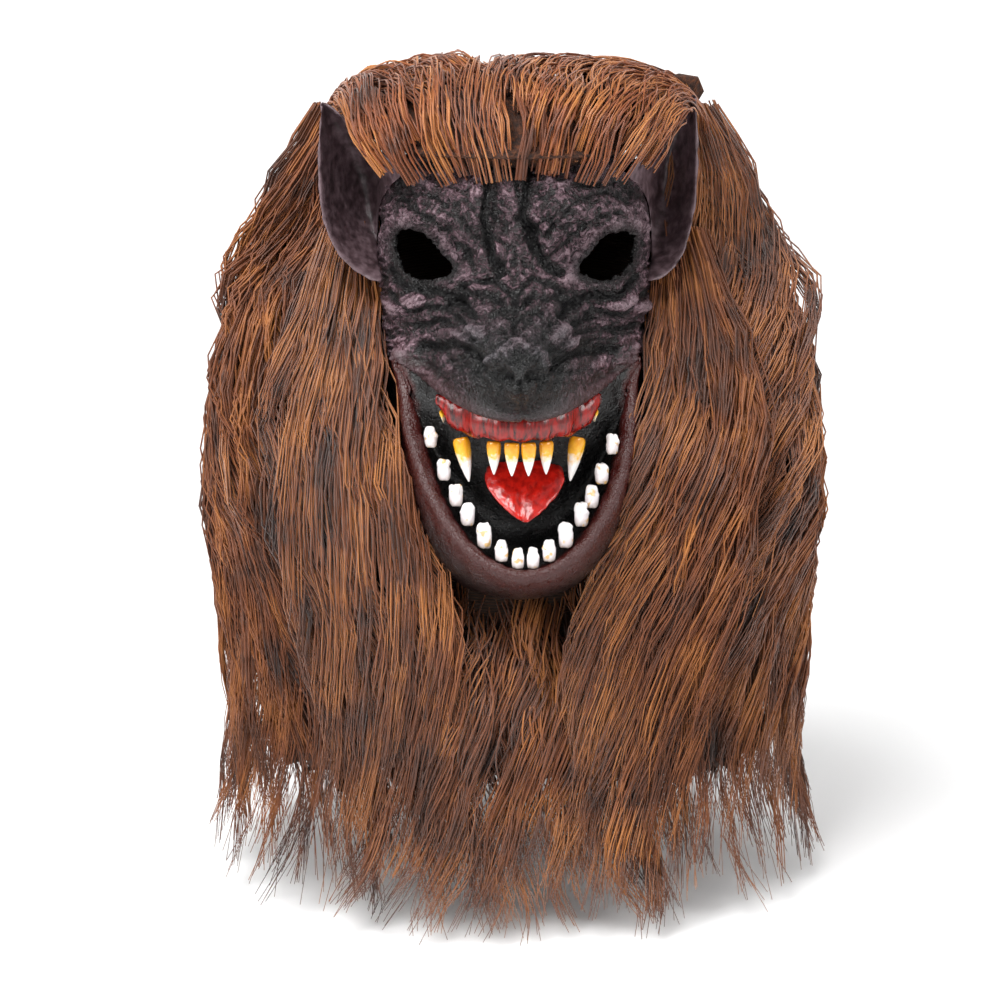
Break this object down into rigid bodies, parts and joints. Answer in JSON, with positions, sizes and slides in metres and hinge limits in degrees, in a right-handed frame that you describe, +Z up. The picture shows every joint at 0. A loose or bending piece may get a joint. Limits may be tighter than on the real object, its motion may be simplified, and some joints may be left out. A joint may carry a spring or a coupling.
{
  "type": "werewolf mask",
  "caption": "Full-head werewolf mask: moulded snarling face with pointed ears and an open toothed mouth, on a cloth hood covered in long wavy fake fur.",
  "frame": {"origin": "inside top of the hood, where the mask sits on the crown of a head", "axes": "+Z up, the face looks along -Y, +X is on the right when the face is seen from in front"},
  "size_m": [0.4076, 0.3632, 0.5122],
  "materials": {
    "vinyl": "soft moulded vinyl, dark purple brown with a satin sheen",
    "flesh": "gloss red paint on moulded vinyl",
    "enamel": "gloss ivory paint",
    "cloth": "plain dark knitted cloth",
    "fur": "long reddish brown fake fur"
  },
  "bodies": {
    "root": {"face_shell": "vinyl", "left_ear": "vinyl", "right_ear": "vinyl", "upper_gum": "flesh", "tongue": "flesh", "upper_canine_left": "enamel", "upper_canine_right": "enamel", "upper_incisor_1": "enamel", "upper_incisor_2": "enamel", "upper_incisor_3": "enamel", "upper_incisor_4": "enamel", "upper_side_teeth_left": "enamel", "upper_side_teeth_right": "enamel", "lower_tooth_01": "enamel", "lower_tooth_02": "enamel", "lower_tooth_03": "enamel", "lower_tooth_04": "enamel", "lower_tooth_05": "enamel", "lower_tooth_06": "enamel", "lower_tooth_07": "enamel", "lower_tooth_08": "enamel", "lower_tooth_09": "enamel", "lower_tooth_10": "enamel", "lower_tooth_11": "enamel", "lower_tooth_12": "enamel", "lower_tooth_13": "enamel", "lower_tooth_14": "enamel", "hood": "cloth", "crown_fur": "fur", "mane_left": "fur", "mane_right": "fur", "mane_back": "fur", "neck_fur": "fur"}
  },
  "joints": []
}
